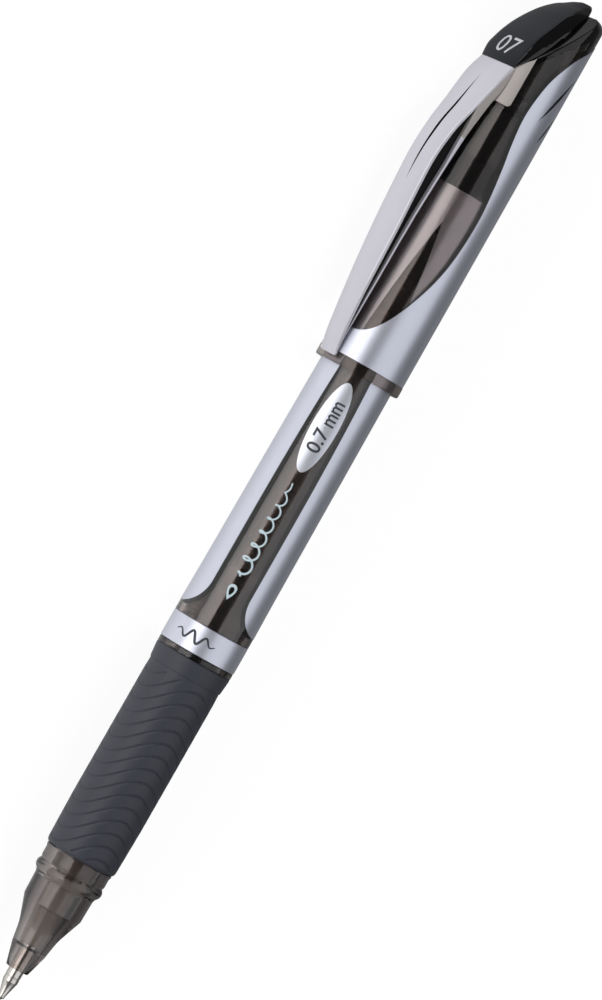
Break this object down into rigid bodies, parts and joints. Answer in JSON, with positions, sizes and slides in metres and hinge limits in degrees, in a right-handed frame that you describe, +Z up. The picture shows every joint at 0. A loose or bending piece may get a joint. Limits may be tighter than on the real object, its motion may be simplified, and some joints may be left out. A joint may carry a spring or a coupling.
{
  "type": "capped gel pen",
  "caption": "Capped gel pen, cap posted: smoke clear barrel with silver panels, wave-grooved rubber grip, refill inside, spring clip with a black head.",
  "frame": {"origin": "on the table under the middle of the pen, cap posted and lying on its side", "axes": "+X along the pen towards the writing point; -Y towards the clip; +Z up"},
  "size_m": [0.1546, 0.016, 0.0126],
  "materials": {
    "carbide": "polished tungsten carbide",
    "nickel_silver": "turned and tumbled nickel silver",
    "spring_wire": "drawn stainless wire",
    "milky_plastic": "translucent moulded plastic",
    "clear_tube": "extruded clear tube",
    "black_ink": "wet gel",
    "amber_grease": "clear grease",
    "tail_plastic": "moulded",
    "smoke_plastic": "smoke-tinted clear, polished mould",
    "grip_rubber": "matt, fine grooves",
    "silver_film": "satin hot-stamped film",
    "black_plastic": "gloss moulded",
    "liner_plastic": "soft moulded",
    "silver_paint": "satin silver lacquer over moulded plastic",
    "head_plastic": "satin top, gloss sides"
  },
  "bodies": {
    "barrel": {"barrel_tube": "smoke_plastic", "silver_band": "silver_film", "barrel_film": "silver_film", "size_label": "silver_film", "end_plug": "black_plastic"},
    "refill": {"metal_point": "nickel_silver", "point_spring": "spring_wire", "point_holder": "milky_plastic", "ink_tube": "clear_tube", "gel_ink": "black_ink", "ink_follower": "amber_grease", "refill_tail": "tail_plastic"},
    "ball": {"ball": "carbide"},
    "front": {"nose_section": "smoke_plastic", "rubber_grip": "grip_rubber"},
    "cap": {"cap_tube": "smoke_plastic", "cap_film": "silver_film", "inner_cap": "liner_plastic", "clip_root": "silver_paint", "clip_head": "head_plastic"},
    "clip": {"clip_arm": "silver_paint"}
  },
  "joints": [
    {"name": "cap_pull", "type": "slide", "parent": "barrel", "child": "cap", "axis": [-1, 0, 0], "range_m": [0, 0.045]},
    {"name": "refill_forward", "type": "slide", "parent": "barrel", "child": "refill", "axis": [1, 0, 0], "range_m": [0, 0.0092]},
    {"name": "front_unscrew", "type": "hinge", "parent": "refill", "child": "front", "pos_m": [0.0173, 0.0017, 0.0063], "axis": [1, 0, 0], "range_deg": [0, 2080]},
    {"name": "ball_roll", "type": "hinge", "parent": "refill", "child": "ball", "pos_m": [0.07695, 0.0017, 0.0063], "axis": [0, 1, 0], "continuous": true},
    {"name": "clip_flex", "type": "hinge", "parent": "cap", "child": "clip", "pos_m": [-0.0587, -0.00635, 0.0063], "axis": [0, 0, -1], "range_deg": [0, 5], "stiffness_Nm_per_rad": 1.5}
  ],
  "couplings": [
    {"joint": "front_unscrew", "follows": "refill_forward", "rad_per_m": 3927}
  ]
}
